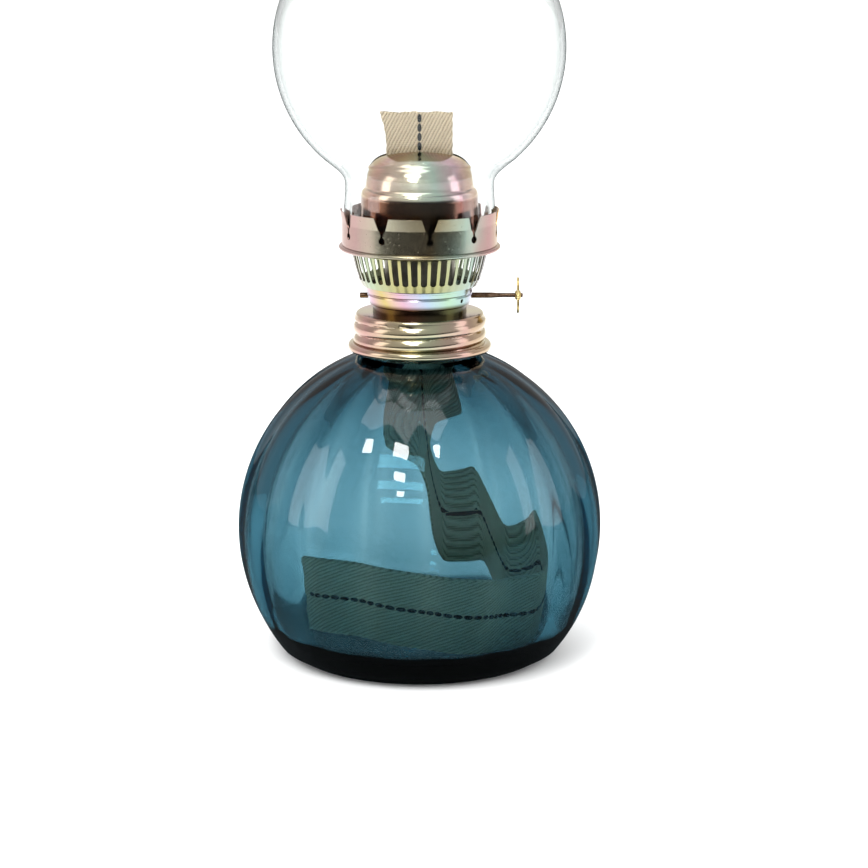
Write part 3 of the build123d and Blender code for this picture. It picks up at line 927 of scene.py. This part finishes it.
slots = []
for face in bm.faces:
    middle = face.calc_center_median()
    if slot_bottom < middle.z / MM < slot_top and abs(column_place(middle)) < OPEN_COLUMNS / 2:
        slots.append(face)
bmesh.ops.delete(bm, geom=slots, context="FACES")
for vert in bm.verts:
    across_slot = 2 * column_place(vert.co) / OPEN_COLUMNS
    if abs(vert.co.z / MM - slot_bottom) < 0.01 and abs(across_slot) < 1:
        vert.co.z -= slot_radius * sqrt(1 - across_slot**2) * MM
thicken(bm, sheet)
make_piece("basket_shell", bm, basket_zinc, "burner", ["basket"])

# %% [markdown]
# ## Gallery
# The gallery holds the chimney's foot between sprung prongs. The real one is cut from flat sheet with
# keyhole slits, then rolled into a ring and its tips flared. It is made here in the same order: half a slit
# is drawn flat and mirrored, one prong is filled, sliced into upright strips so that it can bend, rolled to
# the ring's radius and copied round. The floor and the lip below are a plain spin with as many steps.

# %% Gallery sizes
gallery_low, gallery_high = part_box("gallery")
prong_count = 10
prong_phase = 7.8
PRONG_STRIPS = 24
gallery_radius = 25.87
gallery_bore_radius = 18.5
gallery_lip_reach = 1.1
gallery_lip_height = 1.6
prong_flare = 0.55
keyhole_radius = 1.2
slit_half_width = 0.5
tip_level = gallery_high.z / MM
gallery_under = gallery_low.z / MM
crease_level = tip_level - 4.0
keyhole_level = tip_level - 7.5
prong_width = tau * gallery_radius / prong_count
first_slit = radians(prong_phase - 90)
print("width of a prong in mm:", round(prong_width, 2))

# %% Gallery floor and lip
bm = bmesh.new()
lip_middle = gallery_under + gallery_lip_height / 2
lip_top = gallery_under + gallery_lip_height
draw(bm, (gallery_bore_radius, gallery_under), (gallery_radius, gallery_under))
lip = draw_arc(bm, (gallery_radius, gallery_under), (gallery_radius, lip_middle), 180, 10)
lip_stretch = gallery_lip_reach / (gallery_lip_height / 2)
bmesh.ops.translate(bm, vec=(-gallery_radius * MM, 0, 0), verts=lip)
bmesh.ops.scale(bm, vec=(lip_stretch, 1, 1), verts=lip)
bmesh.ops.translate(bm, vec=(gallery_radius * MM, 0, 0), verts=lip)
bmesh.ops.rotate(bm, cent=(0, 0, 0), matrix=Matrix.Rotation(first_slit, 3, "Z"), verts=bm.verts)
turn(bm, PRONG_STRIPS * prong_count)
print("faces of the gallery floor and lip:", len(bm.faces))

# %% Prongs
# Flat outline: across the prong from one slit's middle to the next, and up
flat = bmesh.new()
slit_turn = 90 + degrees(acos(slit_half_width / keyhole_radius))
draw(flat, (prong_width / 2, lip_top), (0, lip_top), (0, keyhole_level - keyhole_radius))
draw_arc(flat, (0, keyhole_level - keyhole_radius), (0, keyhole_level), slit_turn, 10)
draw(
    flat,
    (slit_half_width, keyhole_level + sqrt(keyhole_radius**2 - slit_half_width**2)),
    (slit_half_width, keyhole_level + 1.9),
    (0.75, crease_level - 0.8),
    (1.35, crease_level),
    (2.7, tip_level),
    (prong_width / 2, tip_level),
)
other_half = bmesh.ops.duplicate(flat, geom=flat.verts[:] + flat.edges[:])["geom"]
other_verts = [item for item in other_half if isinstance(item, bmesh.types.BMVert)]
bmesh.ops.scale(flat, vec=(-1, 1, 1), verts=other_verts)
bmesh.ops.translate(flat, vec=(prong_width * MM, 0, 0), verts=other_verts)
bmesh.ops.remove_doubles(flat, verts=flat.verts, dist=0.01 * MM)
bmesh.ops.edgeloop_fill(flat, edges=flat.edges)
for strip in range(1, PRONG_STRIPS):
    everything = flat.verts[:] + flat.edges[:] + flat.faces[:]
    cut = (strip * prong_width / PRONG_STRIPS * MM, 0, 0)
    bmesh.ops.bisect_plane(flat, geom=everything, dist=0.001 * MM, plane_co=cut, plane_no=(1, 0, 0))
for level in (crease_level - 0.2, crease_level, crease_level + 0.2):
    everything = flat.verts[:] + flat.edges[:] + flat.faces[:]
    fold = (0, 0, level * MM)
    bmesh.ops.bisect_plane(flat, geom=everything, dist=0.001 * MM, plane_co=fold, plane_no=(0, 0, 1))
for vert in flat.verts:
    flared = max(0, vert.co.z / MM - crease_level) / (tip_level - crease_level)
    turned_by = first_slit + vert.co.x / (gallery_radius * MM)
    radius = (gallery_radius + prong_flare * flared) * MM
    vert.co.x = radius * cos(turned_by)
    vert.co.y = radius * sin(turned_by)
bmesh.ops.spin(
    flat,
    geom=flat.faces[:],
    cent=(0, 0, 0),
    axis=(0, 0, 1),
    angle=tau * (prong_count - 1) / prong_count,
    steps=prong_count - 1,
    use_duplicate=True,
)
prongs = bpy.data.meshes.new("rolled_prongs")
flat.to_mesh(prongs)
flat.free()
bm.from_mesh(prongs)
bpy.data.meshes.remove(prongs)
bmesh.ops.remove_doubles(bm, verts=bm.verts, dist=0.02 * MM)
bmesh.ops.recalc_face_normals(bm, faces=bm.faces)
thicken(bm, sheet)
make_piece("gallery_shell", bm, gallery_zinc, "burner", ["gallery"])

# %% [markdown]
# ## Wick
# The wick is a flat woven cotton tape with a twill weave and a line of black stitches down its middle. It
# stands out of the flame slot, goes down through the tube, swings aside in the font and lies along the
# front of the glass. The route is a short list of stations, each with the roll of the tape's width, and
# smooth curves run between them.

# %% Route of the wick
wick_low, wick_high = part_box("wick")
wick_top = wick_high.z / MM
tube_bottom = wick_low.z / MM
wick_width = 22.0
tail_width = 24.5
wick_thickness = 2.0
tail_lean = 6.0
STRAIGHT_STEPS = 6
CURVE_POINTS = 14
# Stations under the tube: x, y, drop under the tube, and the width's turn in plan and roll from level
tail_hang = (
    (0.0, 0.5, 11.0, 4, 0),
    (0.0, 1.5, 22.0, 18, 0),
    (1.2, 4.5, 32.0, 58, 0),
    (2.8, 9.0, 42.0, 78, 0),
    (8.0, 14.5, 53.0, 62, 12),
    (15.5, 17.5, 63.0, 32, 35),
)
# Stations along the glass: azimuth, gap to the glass, height over the cavity floor and roll
tail_lie = (
    (31.6, 26.0, 24.5, 75),
    (12.5, 18.3, 18.0, 88),
    (-5.0, 13.0, 15.0, 90),
    (-24.0, 10.0, 13.5, 90),
    (-46.0, 9.5, 13.2, 90),
    (-69.5, 6.4, 16.5, 90),
    (-92.5, 5.4, 20.2, 90),
    (-114.5, 4.7, 23.1, 90),
    (-136.0, 5.0, 21.8, 90),
)
stations = []
for step in range(STRAIGHT_STEPS + 1):
    stations.append((Vector((0, 0, wick_top + (tube_bottom - wick_top) * step / STRAIGHT_STEPS)), 0, 0))
for x, y, drop, turned, roll in tail_hang:
    stations.append((Vector((x, y, tube_bottom - drop)), turned, roll))
for azimuth, gap, rise, roll in tail_lie:
    level = base_thickness + rise
    height = inner_rise if level > belly_height else inner_drop
    reach = inner_radius * sqrt(1 - ((level - belly_height) / height) ** 2) - gap
    x, y = reach * cos(radians(azimuth)), reach * sin(radians(azimuth))
    stations.append((Vector((x, y, level)), 0, roll))
print("stations of the wick:", len(stations))


# %% Curves between the stations
def neighbours(place):
    """The difference between the next station and the one before."""
    last = len(stations) - 1
    return stations[min(place + 1, last)][0] - stations[max(place - 1, 0)][0]


def width_direction(place):
    """The direction of the tape's width at a station, square to its run."""
    point, turned, roll = stations[place]
    along = neighbours(place).normalized()
    outward = Vector((point.x, point.y, 0))
    outward = outward.normalized() if outward.length > 0.1 else Vector((1, 0, 0))
    upright = Vector((0, 0, cos(radians(tail_lean)))) + outward * sin(radians(tail_lean))
    level_width = Vector((cos(radians(turned)), sin(radians(turned)), 0))
    across = level_width * cos(radians(roll)) + upright * sin(radians(roll))
    return (across - along * across.dot(along)).normalized()


def smooth_run(values, slopes):
    """Points of smooth curves through a list of vectors, with a slope given for each."""
    run = [values[0]]
    for place in range(len(values) - 1):
        first, last = values[place], values[place + 1]
        run += interpolate_bezier(
            first, first + slopes[place] / 6, last - slopes[place + 1] / 6, last, CURVE_POINTS
        )[1:]
    return run


places = range(len(stations))
widths = [width_direction(place) for place in places]
turns = [widths[min(place + 1, len(widths) - 1)] - widths[max(place - 1, 0)] for place in places]
route = smooth_run([station[0] for station in stations], [neighbours(place) for place in places])
across_run = [across.normalized() for across in smooth_run(widths, turns)]
runs = [0.0]
for first, second in zip(route, route[1:]):
    runs.append(runs[-1] + (second - first).length)
wick_length = runs[-1]
tube_run = wick_top - tube_bottom
print("wick length in mm:", round(wick_length, 1))

# %% Woven cotton
# Natural cotton yarns about 1 mm thick: the ribs of the twill slant across the tape, thinner weft yarns
# cross them, and the gaps between yarns are painted darker, as shade. The tape's map is in millimetres, and
# a wave texture at a scale of WAVE has one band in each of them.
WAVE = 0.314
RIB_PITCH = 1.05
WEFT_PITCH = 0.62
woven_cotton = blank_material("woven_cotton_tape")
tree = woven_cotton.node_tree
tape = add_node(tree, "ShaderNodeUVMap", uv_map="tape")
fray = add_node(tree, "ShaderNodeTexNoise", {"Vector": tape.outputs["UV"], "Scale": 1.6, "Detail": 3.0})
rib_place = add_node(
    tree, "ShaderNodeMapping", {"Vector": tape.outputs["UV"], "Rotation": (0, 0, radians(63))}
)
ribs = add_node(
    tree,
    "ShaderNodeTexWave",
    {
        "Vector": rib_place.outputs["Vector"],
        "Scale": WAVE / RIB_PITCH,
        "Distortion": 1.6,
        "Detail": 2.0,
        "Detail Scale": 2.5,
    },
    bands_direction="Y",
)
wefts = add_node(
    tree,
    "ShaderNodeTexWave",
    {"Vector": tape.outputs["UV"], "Scale": WAVE / WEFT_PITCH, "Distortion": 0.8, "Detail": 1.0},
    bands_direction="Y",
)
weave = add_node(
    tree,
    "ShaderNodeMath",
    {0: wefts.outputs["Fac"], 1: 0.4, 2: ribs.outputs["Fac"]},
    operation="MULTIPLY_ADD",
)
gap_shade_and_wear = add_node(
    tree,
    "ShaderNodeMath",
    {0: fray.outputs["Fac"], 1: 0.5, 2: weave.outputs["Value"]},
    operation="MULTIPLY_ADD",
)
# Painted shade: the yarn's colour is darker where the weave is low, between the yarns, plus random wear
yarn_colour = add_node(
    tree,
    "ShaderNodeValToRGB",
    {"Fac": gap_shade_and_wear.outputs["Value"]},
    stops=((0.2, "#9a8a6c"), (0.6, "#baa789"), (0.95, "#d5c5a6")),
)
relief = add_node(
    tree, "ShaderNodeBump", {"Height": gap_shade_and_wear.outputs["Value"], "Strength": 0.7, "Distance": 0.35 * MM}
)
cotton = add_node(
    tree,
    "ShaderNodeBsdfPrincipled",
    {
        "Base Color": yarn_colour.outputs["Color"],
        "Roughness": 0.9,
        "Sheen Weight": 0.2,
        "Normal": relief.outputs["Normal"],
    },
)
add_node(tree, "ShaderNodeOutputMaterial", {"Surface": cotton.outputs["BSDF"]})
print(woven_cotton.name, "nodes:", len(tree.nodes))

# %% Tape
ACROSS_CELLS = 16
flare_length = 12.0
corner_flare = 2.2


def half_width(run, side):
    """Half of the tape's width at a run from its top. The top left corner has sprung open a little."""
    spread = min(max((run - tube_run) / 20, 0), 1)
    width = wick_width + (tail_width - wick_width) * spread
    flare = corner_flare * max(0, 1 - run / flare_length) ** 2 if side < 0 else 0
    return width / 2 + flare


bm = bmesh.new()
bmesh.ops.create_grid(bm, x_segments=ACROSS_CELLS, y_segments=len(route) - 1, size=1.0)
tape_map = bm.loops.layers.uv.new("tape")
rows = {}
for vert in bm.verts:
    row = round((vert.co.y + 1) / 2 * (len(route) - 1))
    side = vert.co.x
    ragged = 0.35 * sin(9 * side) + 0.25 * sin(23 * side + 1)
    reach = side * half_width(runs[row], side)
    edge_wobble = 0.12 * sin(runs[row] * 1.9) * side**8
    along = (route[min(row + 1, len(route) - 1)] - route[max(row - 1, 0)]).normalized()
    end_pull = ragged if row == len(route) - 1 else 0.5 * ragged * (row == 0)
    place = route[row] + across_run[row] * (reach + edge_wobble) + along * end_pull
    rows[vert] = (reach, runs[row])
    vert.co = place * MM
for face in bm.faces:
    for loop in face.loops:
        loop[tape_map].uv = rows[loop.vert]
bmesh.ops.recalc_face_normals(bm, faces=bm.faces)
wick_nodes = ["wick", "wick_tail"]
wick_piece = make_piece("wick_tape", bm, woven_cotton, None, wick_nodes, sharp=70)
cloth = wick_piece.modifiers.new("thickness", "SOLIDIFY")
cloth.thickness = wick_thickness * MM
cloth.offset = 0
edge_round = wick_piece.modifiers.new("selvedge", "BEVEL")
edge_round.width = 0.5 * MM
edge_round.segments = 2
edge_round.limit_method = "ANGLE"
edge_round.angle_limit = radians(60)

# %% Stitching
# A thick black thread runs down the middle of the tape in long stitches that lie proud of both faces. It is
# dyed cotton, so it is matt and shows only the twist of its strands.
STITCH_PITCH = 3.1
stitch_half_length = 1.5
stitch_half_width = 0.72
stitch_height = 0.55
black_thread = blank_material("black_cotton_thread")
tree = black_thread.node_tree
place = add_node(tree, "ShaderNodeTexCoord")
twist = add_node(
    tree,
    "ShaderNodeTexNoise",
    {"Vector": place.outputs["Object"], "Scale": 1 / (0.5 * MM), "Detail": 2.0},
)
dye = add_node(
    tree, "ShaderNodeValToRGB", {"Fac": twist.outputs["Fac"]}, stops=((0.3, "#050607"), (0.75, "#141518"))
)
thread = add_node(
    tree,
    "ShaderNodeBsdfPrincipled",
    {"Base Color": dye.outputs["Color"], "Roughness": 0.9, "Specular IOR Level": 0.1},
)
add_node(tree, "ShaderNodeOutputMaterial", {"Surface": thread.outputs["BSDF"]})

bm = bmesh.new()
row = 0
for stitch in range(int((wick_length - 3) / STITCH_PITCH)):
    run = 2.0 + stitch * STITCH_PITCH
    while runs[row + 1] < run:
        row += 1
    share = (run - runs[row]) / (runs[row + 1] - runs[row])
    point = route[row].lerp(route[row + 1], share)
    along = (route[row + 1] - route[row]).normalized()
    across = across_run[row].lerp(across_run[row + 1], share)
    across = (across - along * across.dot(along)).normalized()
    out = along.cross(across)
    for face_side in (-1, 1):
        middle = point + out * face_side * wick_thickness / 2
        sides = (along * stitch_half_length, across * stitch_half_width, out * stitch_height)
        lay = Matrix.Translation(middle * MM) @ (Matrix(sides).transposed() * MM).to_4x4()
        bmesh.ops.create_uvsphere(bm, u_segments=10, v_segments=7, radius=1.0, matrix=lay)
bmesh.ops.recalc_face_normals(bm, faces=bm.faces)
stitch_piece = make_piece("wick_stitching", bm, black_thread, None, sharp=80)

# %% Wick baked in place
# The tape is drawn up by the feed wheels. Here the tape and its stitching are baked where they lie and ride
# on no body.
for piece in (wick_piece, stitch_piece):
    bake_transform(piece)
print("tape in mm:", tail_width, "by", round(wick_length, 1))

# %% [markdown]
# ## Turned and pressed small parts
# The thumb wheel is a thin brass disc with a ball-shaped hub and a milled edge for the fingers. The spindle
# is steel with a brown heat colour. The parts inside the burner keep their solids and get the dull zinc of
# steel that nobody polishes.

# %% Thumb wheel
wheel_low, wheel_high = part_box("thumb_wheel")
wheel_middle = (wheel_low + wheel_high) / 2 / MM
wheel_radius = (wheel_high.z - wheel_low.z) / 2 / MM
wheel_half_thickness = 0.375
hub_radius = 1.6
hub_half_length = 1.0
MILLING = 60
milling_depth = 0.15

# Pressed brass, darker where fingers have left a thin tarnish
brass = blank_material("pale_brass")
tree = brass.node_tree
place = add_node(tree, "ShaderNodeTexCoord")
touch = add_node(
    tree,
    "ShaderNodeTexNoise",
    {"Vector": place.outputs["Object"], "Scale": 1 / (2.5 * MM), "Detail": 4.0},
)
tone = add_node(
    tree, "ShaderNodeValToRGB", {"Fac": touch.outputs["Fac"]}, stops=((0.3, "#a98f55"), (0.7, "#d9c58a"))
)
satin = add_node(tree, "ShaderNodeMapRange", {"Value": touch.outputs["Fac"], "To Min": 0.22, "To Max": 0.4})
shader = add_node(
    tree,
    "ShaderNodeBsdfPrincipled",
    {"Base Color": tone.outputs["Color"], "Metallic": 1.0, "Roughness": satin.outputs["Result"]},
)
add_node(tree, "ShaderNodeOutputMaterial", {"Surface": shader.outputs["BSDF"]})

bm = bmesh.new()
disc = draw(
    bm,
    (0, hub_half_length),
    (hub_radius, hub_half_length),
    (hub_radius, wheel_half_thickness),
    (wheel_radius, wheel_half_thickness),
    (wheel_radius, -wheel_half_thickness),
    (hub_radius, -wheel_half_thickness),
    (hub_radius, -hub_half_length),
    (0, -hub_half_length),
)
round_corners(bm, [disc[1], disc[6]], 0.6, 5)
round_corners(bm, [vert for vert in bm.verts if abs(vert.co.x / MM - wheel_radius) < 0.01], 0.15, 2)
turn(bm, 2 * MILLING)
for vert in bm.verts:
    if hypot(vert.co.x, vert.co.y) / MM > wheel_radius - 0.2:
        notch = round(atan2(vert.co.y, vert.co.x) / tau * 2 * MILLING) % 2
        vert.co.xy *= 1 - milling_depth / wheel_radius * notch
bmesh.ops.rotate(bm, cent=(0, 0, 0), matrix=Matrix.Rotation(radians(90), 3, "Y"), verts=bm.verts)
bmesh.ops.translate(bm, vec=wheel_middle * MM, verts=bm.verts)
make_piece("thumb_disc", bm, brass, "spindle", ["thumb_wheel"], sharp=30)


# %% Plain metals and rubber
def plain_finish(name, dark, pale, metallic, roughness, grain):
    """A finish that varies a little between two tones, with the grain's size in millimetres."""
    material = blank_material(name)
    tree = material.node_tree
    place = add_node(tree, "ShaderNodeTexCoord")
    patches = add_node(
        tree,
        "ShaderNodeTexNoise",
        {"Vector": place.outputs["Object"], "Scale": 1 / (grain * MM), "Detail": 3.0},
    )
    tone = add_node(
        tree, "ShaderNodeValToRGB", {"Fac": patches.outputs["Fac"]}, stops=((0.3, dark), (0.7, pale))
    )
    rubbed = add_node(
        tree,
        "ShaderNodeMapRange",
        {"Value": patches.outputs["Fac"], "To Min": roughness * 0.8, "To Max": roughness * 1.2},
    )
    shader = add_node(
        tree,
        "ShaderNodeBsdfPrincipled",
        {"Base Color": tone.outputs["Color"], "Metallic": metallic, "Roughness": rubbed.outputs["Result"]},
    )
    add_node(tree, "ShaderNodeOutputMaterial", {"Surface": shader.outputs["BSDF"]})
    return material


# Steel browned by heat, zinc plate dulled by oil, and moulded rubber
browned_steel = plain_finish("browned_steel", "#4a382b", "#7d6653", 1.0, 0.3, 1.5)
dull_zinc = plain_finish("dull_zinc_plate", "#8d8a80", "#b5b1a3", 1.0, 0.4, 4.0)
black_rubber = plain_finish("black_rubber", "#191918", "#262524", 0.0, 0.7, 2.0)
print("plain finishes:", browned_steel.name, dull_zinc.name, black_rubber.name)

# %% Finishes on the solids
finishes = {
    "base_cup": cup_zinc,
    "dome": dome_zinc,
    "spindle": browned_steel,
    "wick_wheel_left": dull_zinc,
    "wick_wheel_right": dull_zinc,
    "base_plate": dull_zinc,
    "air_plate": dull_zinc,
    "wick_tube": dull_zinc,
    "wheel_box": dull_zinc,
    "cap_gasket": black_rubber,
}
for name, finish in finishes.items():
    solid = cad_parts[name]
    solid.data.materials.clear()
    solid.data.materials.append(finish)
print("finished solids:", len(finishes))

# %% [markdown]
# ## Picture
# The Standard view shows each colour about as it is written. Light that goes through the chimney, the font
# and back crosses a dozen glass surfaces, so more bounces than usual are allowed.

# %% Picture settings
scene = bpy.context.scene
scene.view_settings.view_transform = "Standard"
scene.cycles.transmission_bounces = 16
scene.cycles.max_bounces = 20
